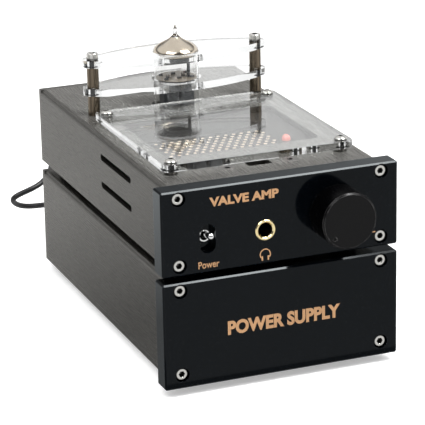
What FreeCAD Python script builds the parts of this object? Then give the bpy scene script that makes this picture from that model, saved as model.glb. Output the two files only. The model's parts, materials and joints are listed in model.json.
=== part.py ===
"""A valve headphone amplifier standing on its separate power supply, as a parametric document.

X runs to the right, Y to the back and Z up. The sizes below fill the document's spreadsheet, and each
sub-part is bound to that sheet. Lengths along Y are worked out from the front of the faceplates, and
every sub-part is then moved by origin_back, so that the origin is the middle of the footprint on the desk.
"""

import FreeCAD, Part
import math
import os

import Sketcher

SIZES = {
    # the two cases
    "plate_width": 110.0, "plate_thick": 9.0, "plate_chamfer": 0.7,
    "amp_plate_height": 38.1, "psu_plate_height": 48.3,
    "rim_top": 0.8, "rim_low": 1.2,
    "box_width": 100.0, "box_depth": 173.0, "wall": 2.5, "roof_thick": 3.0, "edge_round": 2.5,
    "rear_thick": 3.0, "amp_base_thick": 1.0, "psu_base_thick": 2.6, "port_size": 5.0,
    "foot_height": 5.0, "foot_radius": 6.0, "foot_inset": 12.0,
    "screw_side": 47.0, "screw_top": 3.0, "amp_screw_low": 3.3, "psu_screw_low": 5.2,
    # metric screws: socket heads and button heads
    "cap_head_radius": 2.75, "cap_head_height": 3.0, "shank_radius": 1.5, "hex_key": 2.5,
    "sink_radius": 3.25, "sink_depth": 4.0, "clearance_radius": 1.6, "tap_radius": 1.5,
    "button_radius": 2.85, "button_height": 1.65,
    # clear plates over the amplifier
    "window_half": 44.7, "window_front": 22.2, "window_back": 114.6, "window_thick": 3.2,
    "window_gap": 2.0, "window_round": 3.2, "window_screw_in": 4.7,
    "guard_side": 0.6, "guard_half": 40.8, "guard_lobe": 4.8, "guard_arc": 95.45, "guard_thick": 3.4,
    "guard_hole": 11.7, "spacer_radius": 2.8, "spacer_length": 10.0,
    # openings in the amplifier's roof
    "open_half": 36.7, "open_front": 41.0, "open_back": 99.5, "open_round": 3.5,
    "notch_half": 5.5, "notch_front": 22.2, "notch_depth": 9.0,
    "valve_side": 1.1, "valve_back": 127.5, "valve_opening": 11.9,
    "side_slot_front": 50.9, "side_slot_length": 40.4, "side_slot_high": 3.1,
    "side_slot_drop": 9.1, "side_slot_step": 13.1,
    "vent_thick": 1.5, "vent_pitch": 3.75, "vent_row": 3.25, "vent_hole": 1.0, "vent_left": -30.3,
    "vent_front": 52.0, "vent_half": 40.5, "vent_screw_side": 14.7, "vent_screw_front": 24.6,
    "vent_screw_back": 106.0, "vent_screw_head": 3.7,
    "led_side": 25.4, "led_back": 53.5, "led_radius": 2.0,
    # controls, from the middle of the amplifier's faceplate
    "control_drop": 3.8, "knob_side": 25.3, "knob_radius": 12.6, "knob_length": 14.5, "knob_gap": 0.7,
    "knob_mark_radius": 10.0, "pot_shaft_radius": 3.0, "pot_recess": 9.0, "pot_recess_depth": 3.6,
    "jack_side": -7.5, "jack_radius": 4.75, "jack_bore": 3.2,
    "toggle_side": -34.0, "toggle_slot_width": 7.2, "toggle_slot_high": 13.1, "toggle_slot_depth": 4.2,
    "toggle_bush_radius": 3.0, "toggle_pivot": 6.2, "toggle_tilt": 13.0, "toggle_reach": 11.2,
    # valve
    "bulb_radius": 10.8, "bulb_low": 82.6, "glass_thick": 0.9, "pin_circle": 5.95, "pin_radius": 0.5,
    "pin_length": 7.0,
    # circuit boards
    "board_thick": 1.6, "amp_board_top": 62.4, "psu_board_top": 15.0,
    # rear sockets and the lead that joins the two cases
    "socket_side": -28.0, "dc_amp_high": 74.0, "dc_psu_high": 26.0, "plug_radius": 6.0,
    "lead_radius": 1.4, "phono_radius": 4.15, "phono_length": 9.5, "phono_side": 12.0, "phono_step": 20.0,
    "inlet_side": 22.0, "inlet_width": 30.0, "inlet_high": 34.0, "rocker_side": -6.0,
    # transformer
    "core_radius": 41.0, "core_hole": 13.0, "core_high": 32.0, "core_back": 62.0,
    "origin_back": 110.8,
}

doc = FreeCAD.newDocument("HeadphoneAmplifier")
sheet = doc.addObject("Spreadsheet::Sheet", "Sizes")


class Size:
    """A length with the sheet formula that gives it, so that formulas read as plain arithmetic."""

    def __init__(self, text, value):
        self.text = text
        self.value = value

    def __add__(self, other):
        return combine(self, "+", other)

    def __radd__(self, other):
        return combine(other, "+", self)

    def __sub__(self, other):
        return combine(self, "-", other)

    def __rsub__(self, other):
        return combine(other, "-", self)

    def __mul__(self, other):
        return combine(self, "*", other)

    def __rmul__(self, other):
        return combine(other, "*", self)

    def __truediv__(self, other):
        return combine(self, "/", other)

    def __neg__(self):
        return combine(0.0, "-", self)


def size(number):
    return number if isinstance(number, Size) else Size(f"{number:.4f}", float(number))


def combine(left, sign, right):
    left = size(left)
    right = size(right)
    value = {
        "+": left.value + right.value,
        "-": left.value - right.value,
        "*": left.value * right.value,
        "/": left.value / right.value if right.value else 0.0,
    }[sign]
    return Size(f"({left.text} {sign} {right.text})", value)


for row, (alias, number) in enumerate(SIZES.items(), start=1):
    sheet.set(f"A{row}", alias)
    sheet.set(f"B{row}", str(number))
    sheet.setAlias(f"B{row}", alias)
doc.recompute()

s = type("Sheet", (), {alias: Size(f"Sizes.{alias}", number) for alias, number in SIZES.items()})

psu_floor = s.foot_height
psu_high = s.psu_plate_height - s.rim_top - s.rim_low
psu_roof = psu_floor + psu_high
amp_floor = psu_roof + s.foot_height
amp_high = s.amp_plate_height - s.rim_top - s.rim_low
amp_roof = amp_floor + amp_high
half = s.box_width / 2
rear = s.plate_thick + s.box_depth
panel_front = rear - s.rear_thick
knob_high = amp_floor - s.rim_low + s.amp_plate_height / 2
control_high = knob_high - s.control_drop
amp_board_low = s.amp_board_top - s.board_thick
psu_board_low = s.psu_board_top - s.board_thick
amp_base_top = amp_floor + s.amp_base_thick
psu_base_top = psu_floor + s.psu_base_thick
knob_face = -(s.knob_gap + s.knob_length)

FIT = 0.03        # room left between pieces that touch, such as a screw in its tapped hole
HEAD_EDGE = 0.35  # the chamfer round a socket head
SIDES = (-1, 1)
TURNS = {
    "up": FreeCAD.Rotation(),
    "down": FreeCAD.Rotation(FreeCAD.Vector(1, 0, 0), 180),
    "front": FreeCAD.Rotation(FreeCAD.Vector(1, 0, 0), 90),
    "back": FreeCAD.Rotation(FreeCAD.Vector(1, 0, 0), -90),
    "right": FreeCAD.Rotation(FreeCAD.Vector(0, 1, 0), 90),
}
SUB_PARTS = []


# --- solids, each placed from the front of the faceplates ---

def bind(thing, prop, amount):
    thing.setExpression(prop, size(amount).text)


def put(thing, x, y, z, facing="up"):
    """Place a thing at a point, with its own Z turned to face a side."""
    thing.Placement = FreeCAD.Placement(FreeCAD.Vector(), TURNS[facing])
    for axis, amount in zip("xyz", (x, y, z)):
        bind(thing, f"Placement.Base.{axis}", amount)
    return thing


def primitive(kind, amounts, x, y, z, facing="up"):
    thing = doc.addObject(kind, kind.split("::")[1].lower())
    for prop, amount in amounts.items():
        bind(thing, prop, amount)
    return put(thing, x, y, z, facing)


def block(x, y, z, length, width, height):
    """A box from its lowest corner."""
    return primitive("Part::Box", {"Length": length, "Width": width, "Height": height}, x, y, z)


def centred(x, y, z, length, width, height):
    """A box with its middle at x, its front at y and its middle height at z."""
    return block(x - size(length) / 2, y, z - size(height) / 2, length, width, height)


def rod(x, y, z, radius, length, facing="up"):
    return primitive("Part::Cylinder", {"Radius": radius, "Height": length}, x, y, z, facing)


def cone(x, y, z, low_radius, high_radius, length, facing="up"):
    amounts = {"Radius1": low_radius, "Radius2": high_radius, "Height": length}
    return primitive("Part::Cone", amounts, x, y, z, facing)


def ball(x, y, z, radius):
    return primitive("Part::Sphere", {"Radius": radius}, x, y, z)


def ring(x, y, z, radius, thickness, facing="up"):
    return primitive("Part::Torus", {"Radius1": radius, "Radius2": thickness}, x, y, z, facing)


def hexagon(x, y, z, across_flats, length, facing="up"):
    thing = primitive("Part::Prism", {"Circumradius": size(across_flats) / math.sqrt(3), "Height": length},
                      x, y, z, facing)
    thing.Polygon = 6
    return thing


def join(things):
    if len(things) == 1:
        return things[0]
    fused = doc.addObject("Part::MultiFuse", "joined")
    fused.Shapes = things
    return fused


def cut(base, tools):
    """The base with the tools taken out of it."""
    result = doc.addObject("Part::Cut", "cut")
    result.Base = base
    result.Tool = join(tools)
    return result


def group(things):
    """Separate solids kept together, such as a set of identical screws."""
    gathered = doc.addObject("Part::Compound", "group")
    gathered.Links = things
    return gathered


def tube(x, y, z, radius, bore, length, facing="up"):
    return cut(rod(x, y, z, radius, length, facing), [rod(x, y, z, bore, length, facing)])


def round_block(x, y, z, length, width, height, radius):
    """A box with round upright corners, from its lowest corner."""
    along = block(x + radius, y, z, length - 2 * radius, width, height)
    across = block(x, y + radius, z, length, width - 2 * radius, height)
    posts = [
        rod(x + dx, y + dy, z, radius, height)
        for dx in (radius, length - radius)
        for dy in (radius, width - radius)
    ]
    return join([along, across] + posts)


def screw(x, y, z, facing, length, head="cap"):
    """A hex socket screw: the point is where the head sits, and facing is the way its head looks."""
    shank = rod(0, 0, -length, s.shank_radius, length)
    if head == "cap":
        straight = s.cap_head_height - HEAD_EDGE
        edge = cone(0, 0, straight, s.cap_head_radius, s.cap_head_radius - HEAD_EDGE, HEAD_EDGE)
        top = join([rod(0, 0, 0, s.cap_head_radius, straight), edge])
        key = hexagon(0, 0, s.cap_head_height - 2.0, s.hex_key, 2.0)
    else:
        top = primitive("Part::Ellipsoid", {"Radius1": s.button_height, "Radius2": s.button_radius}, 0, 0, 0)
        top.Angle1 = 0
        key = hexagon(0, 0, s.button_height - 1.1, 2.0, 1.1)
    return put(cut(join([shank, top]), [key]), x, y, z, facing)


def sub_part(label, thing, x=0.0, y=0.0, z=0.0):
    """Finish a sub-part: name it and move it from the faceplate's datum to the origin."""
    if thing.TypeId in ("Part::Box", "Part::Cylinder", "Part::Sphere", "Part::Prism"):
        thing = group([thing])
    thing.Label = label
    turn = thing.Placement.Rotation
    thing.Placement = FreeCAD.Placement(FreeCAD.Vector(), turn)
    for axis, amount in (("x", x), ("y", y - s.origin_back), ("z", z)):
        bind(thing, f"Placement.Base.{axis}", amount)
    SUB_PARTS.append(thing)
    return thing


# --- sketches and the features made from them ---

def new_body(name):
    return doc.addObject("PartDesign::Body", name + "_body")


def sketch_on(body, role, lift=0.0):
    """A sketch on one of the body's own origin planes, lifted along the plane's normal."""
    sketch = body.newObject("Sketcher::SketchObject", "sketch")
    plane = next(f for f in body.Origin.OriginFeatures if f.Role == role)
    sketch.AttachmentSupport = [(plane, "")]
    sketch.MapMode = "FlatFace"
    bind(sketch, "AttachmentOffset.Base.z", lift)
    return sketch


def pin_down(sketch, item, end, x, y):
    """Hold a point of a sketch at x, y from the sketch's origin."""
    for kind, axis, amount in (("DistanceX", -2, size(x)), ("DistanceY", -1, size(y))):
        if abs(amount.value) < 1e-9:
            sketch.addConstraint(Sketcher.Constraint("PointOnObject", item, end, axis))
        else:
            index = sketch.addConstraint(Sketcher.Constraint(kind, -1, 1, item, end, amount.value))
            bind(sketch, f"Constraints[{index}]", amount)


def set_radius(sketch, item, radius):
    index = sketch.addConstraint(Sketcher.Constraint("Radius", item, size(radius).value))
    bind(sketch, f"Constraints[{index}]", radius)


def outline(sketch, points):
    """A closed outline of straight lines through points."""
    first = sketch.GeometryCount
    corners = [FreeCAD.Vector(size(x).value, size(y).value, 0) for x, y in points]
    count = len(corners)
    for i in range(count):
        sketch.addGeometry(Part.LineSegment(corners[i], corners[(i + 1) % count]))
    for i in range(count):
        sketch.addConstraint(Sketcher.Constraint("Coincident", first + i, 2, first + (i + 1) % count, 1))
    for i, (x, y) in enumerate(points):
        pin_down(sketch, first + i, 1, x, y)
    return sketch


def rectangle(sketch, left, low, right, high):
    return outline(sketch, [(left, low), (right, low), (right, high), (left, high)])


def circles(sketch, radius, centres):
    for x, y in centres:
        centre = FreeCAD.Vector(size(x).value, size(y).value, 0)
        item = sketch.addGeometry(Part.Circle(centre, FreeCAD.Vector(0, 0, 1), size(radius).value))
        pin_down(sketch, item, 3, x, y)
        set_radius(sketch, item, radius)
    return sketch


def pad(body, sketch, length, reverse=False):
    feature = body.newObject("PartDesign::Pad", "pad")
    feature.Profile = sketch
    feature.Reversed = reverse
    bind(feature, "Length", length)
    body.Tip = feature
    doc.recompute()
    return feature


def pocket(body, sketch, depth, reverse=False):
    """Cut a sketch into the body, and stop if it took nothing away."""
    before = body.Shape.Volume
    feature = body.newObject("PartDesign::Pocket", "pocket")
    feature.Profile = sketch
    feature.Reversed = reverse
    bind(feature, "Length", depth)
    body.Tip = feature
    doc.recompute()
    if not body.Shape.Volume < before:
        raise ValueError(f"a pocket in {body.Name} cuts nothing")
    return feature


def revolve(body, sketch):
    """Turn a sketch a full circle about its upright axis."""
    feature = body.newObject("PartDesign::Revolution", "revolution")
    feature.Profile = sketch
    feature.ReferenceAxis = (sketch, ["V_Axis"])
    feature.Angle = 360
    body.Tip = feature
    doc.recompute()
    return feature


def dress(body, kind, amount, wanted):
    """Fillet or chamfer the tip's edges that the wanted test picks."""
    base = body.Tip
    names = [f"Edge{i}" for i, edge in enumerate(base.Shape.Edges, start=1) if wanted(edge)]
    feature = body.newObject(f"PartDesign::{kind}", kind.lower())
    feature.Base = (base, names)
    bind(feature, "Radius" if kind == "Fillet" else "Size", amount)
    body.Tip = feature
    doc.recompute()
    return feature


def turned(name, role, points):
    """A body turned from an outline of (radius, distance along the axis)."""
    body = new_body(name)
    revolve(body, outline(sketch_on(body, role), points))
    return body


# --- cases: both are made the same way ---

def screw_places(floor, roof, screw_low):
    return [(side * s.screw_side, high) for side in SIDES for high in (floor + screw_low, roof - s.screw_top)]


def faceplate(name, floor, roof, high, screw_low):
    """The thick front plate, with its edge chamfer and four counterbored screw holes."""
    body = new_body(name)
    low = floor - s.rim_low
    side = s.plate_width / 2
    pad(body, rectangle(sketch_on(body, "XZ_Plane"), -side, low, side, low + high), s.plate_thick, reverse=True)
    corner = side.value - 1.0
    dress(body, "Chamfer", s.plate_chamfer, lambda edge: all(v.Y < 0.01 for v in edge.Vertexes)
          or (edge.Length < 10 and all(abs(v.X) > corner for v in edge.Vertexes)))
    places = screw_places(floor, roof, screw_low)
    pocket(body, circles(sketch_on(body, "XZ_Plane"), s.sink_radius, places), s.sink_depth)
    pocket(body, circles(sketch_on(body, "XZ_Plane"), s.clearance_radius, places), s.plate_thick)
    return body


def cover(name, floor, roof, base_thick, screw_low):
    """The extruded roof and sides, with a bar in each corner that takes the screws."""
    body = new_body(name)
    bar = s.screw_side - s.port_size / 2
    inner = half - s.wall
    low_bar = floor + screw_low + s.port_size / 2
    high_bar = roof - s.screw_top - s.port_size / 2
    right = [
        (half, roof), (half, floor + base_thick), (bar, floor + base_thick), (bar, low_bar), (inner, low_bar),
        (inner, high_bar), (bar, high_bar), (bar, roof - s.roof_thick),
    ]
    left = [(-x, z) for x, z in reversed(right)]
    length = s.box_depth - s.rear_thick
    pad(body, outline(sketch_on(body, "XZ_Plane", -s.plate_thick), right + left), length, reverse=True)
    dress(body, "Fillet", s.edge_round, lambda edge: edge.Length > 100 and all(
        abs(v.Z - roof.value) < 0.01 and abs(abs(v.X) - half.value) < 0.01 for v in edge.Vertexes))
    places = screw_places(floor, roof, screw_low)
    bore = s.tap_radius + FIT
    pocket(body, circles(sketch_on(body, "XZ_Plane", -s.plate_thick), bore, places), 14.0)
    pocket(body, circles(sketch_on(body, "XZ_Plane", -panel_front), bore, places), 14.0, reverse=True)
    up_holes = base_screw_places()
    floor_sketch = circles(sketch_on(body, "XY_Plane", floor + base_thick), bore, up_holes)
    pocket(body, floor_sketch, 4.0, reverse=True)
    return body


def base_screw_places():
    side = s.screw_side - 0.5
    return [(x * side, y) for x in SIDES for y in (s.plate_thick + 35.0, s.plate_thick + 135.0)]


def base_plate(name, floor, base_thick, extra_holes=()):
    body = new_body(name)
    sketch = rectangle(sketch_on(body, "XY_Plane", floor), -half, s.plate_thick, half, panel_front)
    pad(body, sketch, base_thick)
    holes = sketch_on(body, "XY_Plane", floor + base_thick)
    circles(holes, s.clearance_radius, base_screw_places())
    for x, y, radius in extra_holes:
        circles(holes, radius, [(x, y)])
    pocket(body, holes, base_thick)
    return body


def rear_panel(name, floor, roof, screw_low, round_holes, square_holes=()):
    """The rear panel, with its screw holes and the holes of its sockets."""
    body = new_body(name)
    pad(body, rectangle(sketch_on(body, "XZ_Plane", -panel_front), -half, floor, half, roof),
        s.rear_thick, reverse=True)
    holes = sketch_on(body, "XZ_Plane", -panel_front)
    circles(holes, s.clearance_radius, screw_places(floor, roof, screw_low))
    for x, z, radius in round_holes:
        circles(holes, radius, [(x, z)])
    for x, z, wide, high in square_holes:
        rectangle(holes, x - wide / 2, z - high / 2, x + wide / 2, z + high / 2)
    pocket(body, holes, s.rear_thick)
    return body


def feet(floor):
    """Four round rubber feet under a case."""
    across = half - s.foot_inset
    places = [(x * across, y) for x in SIDES for y in (s.plate_thick + s.foot_inset, rear - s.foot_inset)]
    low = floor - s.foot_height
    return [cut(rod(x, y, low, s.foot_radius, s.foot_height), [cone(x, y, low, 3.0, 2.4, 1.6)])
            for x, y in places]


def case_screws(floor, roof, screw_low):
    """The button screws through a rear panel and up through a base plate."""
    behind = [screw(x, rear, z, "back", 12.0, "button") for x, z in screw_places(floor, roof, screw_low)]
    under = [screw(x, y, floor, "down", 5.0, "button") for x, y in base_screw_places()]
    return behind + under


def faceplate_screws(floor, roof, screw_low):
    return [screw(x, s.sink_depth, z, "front", 16.0) for x, z in screw_places(floor, roof, screw_low)]


# --- the amplifier's case ---

def amp_faceplate():
    """The front plate, with a slot for the toggle, a hole for the jack and a sunk hole for the control."""
    plate = faceplate("amp_faceplate", amp_floor, amp_roof, s.amp_plate_height, s.amp_screw_low)
    width = s.toggle_slot_width
    straight = s.toggle_slot_high - width
    slot = [centred(s.toggle_side, 0, control_high, width, s.toggle_slot_depth, straight)]
    for side in SIDES:
        end = control_high + side * straight / 2
        slot.append(rod(s.toggle_side, 0, end, width / 2, s.toggle_slot_depth, "back"))
    holes = [
        rod(s.toggle_side, 0, control_high, s.toggle_bush_radius + FIT, s.plate_thick, "back"),
        rod(s.jack_side, 0, control_high, s.jack_radius + FIT, s.plate_thick, "back"),
        rod(s.knob_side, 0, knob_high, s.pot_recess, s.pot_recess_depth, "back"),
        rod(s.knob_side, 0, knob_high, 4.0, s.plate_thick, "back"),
    ]
    sub_part("amp_faceplate", cut(plate, slot + holes))


def roof_screw_places():
    """Where the window plate's screws stand: near its four corners."""
    side = s.window_half - s.window_screw_in
    return [(x * side, y) for x in SIDES
            for y in (s.window_front + s.window_screw_in, s.window_back - s.window_screw_in)]


def guard_places():
    """Where the two posts round the valve stand."""
    return [(s.guard_side + side * s.guard_half, s.valve_back) for side in SIDES]


def vent_screw_places():
    return [(x * s.vent_screw_side, y) for x in SIDES for y in (s.vent_screw_front, s.vent_screw_back)]


def side_slots():
    """The pair of cooling slots, cut through both side walls."""
    tools = []
    radius = s.side_slot_high / 2
    wide = s.box_width + 2.0
    for row in range(2):
        high = amp_roof - s.side_slot_drop - row * s.side_slot_step
        run = s.side_slot_length - s.side_slot_high
        front = s.side_slot_front + radius
        tools.append(block(-half - 1.0, front, high - radius, wide, run, s.side_slot_high))
        for y in (front, front + run):
            tools.append(rod(-half - 1.0, y, high, radius, wide, "right"))
    return tools


def amp_cover():
    shell = cover("amp_cover", amp_floor, amp_roof, s.amp_base_thick, s.amp_screw_low)
    under = amp_roof - s.roof_thick - 1.0
    deep = s.roof_thick + 2.0
    tools = [
        round_block(-s.open_half, s.open_front, under, 2 * s.open_half, s.open_back - s.open_front, deep,
                    s.open_round),
        block(-s.notch_half, s.notch_front, under, 2 * s.notch_half, s.notch_depth, deep),
        rod(s.valve_side, s.valve_back, under, s.valve_opening, deep),
    ]
    for x, y in roof_screw_places() + guard_places():
        tools.append(rod(x, y, under, s.tap_radius + FIT, deep))
    for x, y in vent_screw_places():
        head = s.vent_screw_head + FIT
        tools.append(cone(x, y, amp_roof - 1.8, 2.0 + FIT, head, 1.8))
        tools.append(rod(x, y, under, 2.0 + FIT, deep))
    sub_part("amp_cover", cut(shell, tools + side_slots()))


VENT_ROWS = 7
VENT_COLUMNS = 14


def vent_plate():
    """The perforated plate under the opening in the roof, with a staggered field of countersunk holes."""
    top = amp_roof - s.roof_thick
    low = top - s.vent_thick
    front = s.vent_screw_front - 5.0
    plate = block(-s.vent_half, front, low, 2 * s.vent_half, s.vent_screw_back + 5.0 - front, s.vent_thick)
    under = low - 1.0
    deep = s.vent_thick + 2.0
    tools = [block(-s.notch_half, s.notch_front, under, 2 * s.notch_half, s.notch_depth, deep)]
    for row in range(VENT_ROWS):
        shift = (row % 2) * s.vent_pitch / 2
        for column in range(VENT_COLUMNS):
            x = s.vent_left + shift + column * s.vent_pitch
            y = s.vent_front + row * s.vent_row
            tools.append(cone(x, y, low, s.vent_hole, s.vent_hole + 0.35, s.vent_thick))
    for x, y in vent_screw_places():
        tools.append(rod(x, y, under, 2.0 + FIT, deep))
    for x, y in roof_screw_places():
        tools.append(rod(x, y, under, 3.0, deep))
    tools.append(rod(s.led_side, s.led_back, under, s.led_radius + FIT, deep))
    sub_part("vent_plate", cut(plate, tools))
    screws = []
    for x, y in vent_screw_places():
        solid = join([cone(0, 0, -1.8, 2.0, s.vent_screw_head, 1.8), rod(0, 0, -6.0, 2.0, 6.0)])
        screws.append(put(cut(solid, [hexagon(0, 0, -1.2, 2.5, 1.2)]), x, y, amp_roof))
    sub_part("vent_plate_screws", group(screws))


def power_led():
    """A round-nosed indicator lamp that stands up through the vent plate."""
    x = s.led_side
    y = s.led_back
    tall = 9.0
    top = amp_roof - s.roof_thick + 0.6
    low = top - tall
    flange = rod(x, y, low, s.led_radius + 0.4, 1.0)
    body = [rod(x, y, low, s.led_radius, tall), ball(x, y, top, s.led_radius), flange]
    legs = [rod(x + dx, y, s.amp_board_top, 0.3, low - s.amp_board_top) for dx in (-1.27, 1.27)]
    sub_part("power_led", join(body + legs))


def window():
    """The clear plate over the opening, on washers, with its four screws."""
    low = amp_roof + s.window_gap
    wide = 2 * s.window_half
    deep = s.window_back - s.window_front
    plate = round_block(-s.window_half, s.window_front, low, wide, deep, s.window_thick, s.window_round)
    holes = [rod(x, y, low - 1.0, s.clearance_radius, s.window_thick + 2.0) for x, y in roof_screw_places()]
    sub_part("window_plate", cut(plate, holes))
    sub_part("window_washers", group([
        tube(x, y, amp_roof, 3.0, s.clearance_radius, s.window_gap) for x, y in roof_screw_places()
    ]))
    sub_part("window_screws", group([
        screw(x, y, low + s.window_thick, "up", 7.8, "button") for x, y in roof_screw_places()
    ]))


def guard_plate(low):
    """A clear plate shaped like a lens, round-ended at the posts, with the valve's hole in its middle."""
    body = new_body("guard_plate")
    sketch = sketch_on(body, "XY_Plane")
    up = FreeCAD.Vector(0, 0, 1)
    reach = s.guard_half.value
    radius = s.guard_arc.value
    lobe = s.guard_lobe.value
    setback = math.sqrt((radius - lobe) ** 2 - reach ** 2)
    lean = math.atan2(setback, reach)
    arcs = [
        (FreeCAD.Vector(0, -setback, 0), radius, lean, math.pi - lean),
        (FreeCAD.Vector(-reach, 0, 0), lobe, math.pi - lean, math.pi + lean),
        (FreeCAD.Vector(0, setback, 0), radius, math.pi + lean, 2 * math.pi - lean),
        (FreeCAD.Vector(reach, 0, 0), lobe, -lean, lean),
    ]
    for centre, size_of_arc, start, end in arcs:
        sketch.addGeometry(Part.ArcOfCircle(Part.Circle(centre, up, size_of_arc), start, end))
    for i in range(4):
        sketch.addConstraint(Sketcher.Constraint("Tangent", i, 2, (i + 1) % 4, 1))
    for i, side in ((1, -1), (3, 1)):
        pin_down(sketch, i, 3, side * s.guard_half, 0)
        set_radius(sketch, i, s.guard_lobe)
    for i in (0, 2):
        set_radius(sketch, i, s.guard_arc)
    circles(sketch, s.guard_hole, [(s.valve_side - s.guard_side, 0)])
    circles(sketch, s.clearance_radius, [(-s.guard_half, 0), (s.guard_half, 0)])
    pad(body, sketch, s.guard_thick)
    for axis, amount in (("x", s.guard_side), ("y", s.valve_back), ("z", low)):
        bind(body, f"Placement.Base.{axis}", amount)
    return body


def guard():
    """Two clear plates held round the valve on two spacer posts."""
    step = s.spacer_length + s.guard_thick
    top = amp_roof + 2 * step
    levels = (amp_roof, amp_roof + step)
    sub_part("guard_plates", group([guard_plate(low + s.spacer_length) for low in levels]))
    sub_part("guard_spacers", group([
        tube(x, y, low, s.spacer_radius, s.clearance_radius, s.spacer_length)
        for x, y in guard_places() for low in levels
    ]))
    sub_part("guard_screws", group([
        screw(x, y, top, "up", 2 * step + 4.0) for x, y in guard_places()
    ]))


# --- controls on the amplifier's front ---

def volume_control():
    """The knob on its shaft, the potentiometer behind the plate and the nut that holds it."""
    back = -s.knob_gap
    bore_end = knob_face + 3.0
    edge = s.plate_chamfer
    rim = s.knob_radius
    bore = s.pot_shaft_radius + FIT
    knob = turned("volume_knob", "XY_Plane", [
        (0, knob_face), (rim - edge, knob_face), (rim, knob_face + edge), (rim, back - 0.4), (rim - 0.4, back),
        (bore, back), (bore, bore_end), (0, bore_end),
    ])
    offset = s.knob_mark_radius / math.sqrt(2)
    pocket(knob, circles(sketch_on(knob, "XZ_Plane", -knob_face), 0.95, [(-offset, -offset)]), 0.6)
    grub_back = knob_face + 9.0
    bored = cut(knob, [rod(0, grub_back, 0, s.tap_radius + FIT, rim + 1.0, "down")])
    sub_part("volume_knob", bored, s.knob_side, 0, knob_high)
    grub = cut(rod(0, 0, -5.0, s.shank_radius, 5.0), [hexagon(0, 0, -5.0, 1.5, 2.0)])
    sub_part("knob_grub_screw", grub, s.knob_side, grub_back, knob_high - s.pot_shaft_radius - FIT)
    shaft_front = bore_end + FIT
    shaft_end = s.plate_thick + 7.0
    shaft = rod(0, 0, 0, s.pot_shaft_radius, shaft_end - shaft_front, "back")
    sub_part("pot_shaft", shaft, s.knob_side, shaft_front, knob_high)

    side = 22.0
    can = centred(s.knob_side, s.plate_thick + FIT, knob_high, side, 20.0, side)
    neck_front = size(0.9)
    neck = rod(s.knob_side, neck_front, knob_high, 3.9, s.plate_thick - neck_front + 1.0, "back")
    bearing = rod(s.knob_side, 0, knob_high, s.pot_shaft_radius + 0.05, shaft_end + 0.5, "back")
    sub_part("pot_body", cut(join([can, neck]), [bearing]))
    nut_front = s.pot_recess_depth - 2.2
    nut = hexagon(s.knob_side, nut_front, knob_high, 11.0, 2.2, "back")
    sub_part("pot_nut", cut(nut, [rod(s.knob_side, nut_front, knob_high, 3.9 + FIT, 2.2, "back")]))


def headphone_jack():
    """The plated sleeve that shows in the plate, and the moulded body behind it."""
    proud = 0.3
    length = s.plate_thick + 2.5
    sleeve = turned("jack_sleeve", "XY_Plane", [
        (s.jack_bore, 0.5), (s.jack_bore + 0.5, 0), (s.jack_radius - 0.4, 0), (s.jack_radius, 0.4),
        (s.jack_radius, length), (s.jack_bore, length),
    ])
    sub_part("jack_sleeve", sleeve, s.jack_side, -proud, control_high)
    start = s.plate_thick + FIT
    body = centred(s.jack_side, start, control_high, 16.0, 27.0, 15.0)
    tools = [
        rod(s.jack_side, start, control_high, s.jack_radius + FIT, 2.6, "back"),
        rod(s.jack_side, start, control_high, s.jack_bore + 0.35, 25.0, "back"),
    ]
    sub_part("jack_body", cut(body, tools))


def power_toggle():
    """The toggle switch: a body behind the plate, a plated bushing in the slot and a tilting lever."""
    front = s.toggle_slot_depth
    socket = s.toggle_bush_radius - 1.0
    length = s.plate_thick - front
    bush = turned("toggle_bushing", "XY_Plane", [
        (socket, 0), (s.toggle_bush_radius - 0.4, 0), (s.toggle_bush_radius, 0.4),
        (s.toggle_bush_radius, length), (socket, length),
    ])
    sub_part("toggle_bushing", bush, s.toggle_side, front, control_high)
    sub_part("toggle_body", centred(s.toggle_side, s.plate_thick + FIT, control_high, 8.0, 10.5, 13.2))
    tip = 1.5
    lever = turned("toggle_lever", "XZ_Plane", [
        (0, 0), (0.95, 0), (tip, s.toggle_reach - tip), (0, s.toggle_reach - tip),
    ])
    reach = socket - FIT
    pivot = [ball(0, 0, 0, socket - 0.05), rod(-reach, 0, 0, 0.5, 2 * reach, "right")]
    stick = join([lever, ball(0, 0, s.toggle_reach - tip, tip)] + pivot)
    stick.Placement = FreeCAD.Placement(FreeCAD.Vector(), TURNS["front"])
    sub_part("toggle_lever", stick, s.toggle_side, s.toggle_pivot, control_high)
    stick.setExpression("Placement.Rotation.Angle", "90 - Sizes.toggle_tilt")


# --- the valve, from the underside of its glass ---

BULB = [
    (10.8, 34.6), (10.7, 35.9), (10.2, 37.2), (9.2, 38.35), (7.7, 39.45), (5.4, 40.6), (3.2, 41.9),
    (1.9, 43.0), (1.05, 43.9), (0.95, 44.6), (1.3, 45.3), (1.35, 45.9), (0.95, 46.7), (0.55, 47.6), (0.0, 48.9),
]
NECK = 7        # how many points of the bulb lie below its neck


def read(alias):
    return float(sheet.get(alias))


def inset_curve(points, inset):
    """The points moved inwards, square to the curve through them."""
    moved = []
    last = len(points) - 1
    for i, (r, z) in enumerate(points):
        before = points[max(i - 1, 0)]
        after = points[min(i + 1, last)]
        dr = after[0] - before[0]
        dz = after[1] - before[1]
        long = math.hypot(dr, dz)
        moved.append((r - inset * dz / long, z + inset * dr / long))
    return moved


def spin(edges):
    """Turn a closed outline, drawn in the XZ plane, about Z."""
    face = Part.Face(Part.Wire(edges))
    return face.revolve(FreeCAD.Vector(), FreeCAD.Vector(0, 0, 1), 360)


def line(start, end):
    return Part.makeLine(FreeCAD.Vector(start[0], 0, start[1]), FreeCAD.Vector(end[0], 0, end[1]))


def curve(points):
    spline = Part.BSplineCurve()
    spline.interpolate([FreeCAD.Vector(r, 0, z) for r, z in points])
    return spline.toShape()


def chain(points):
    return [line(points[i], points[i + 1]) for i in range(len(points) - 1)]


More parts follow.
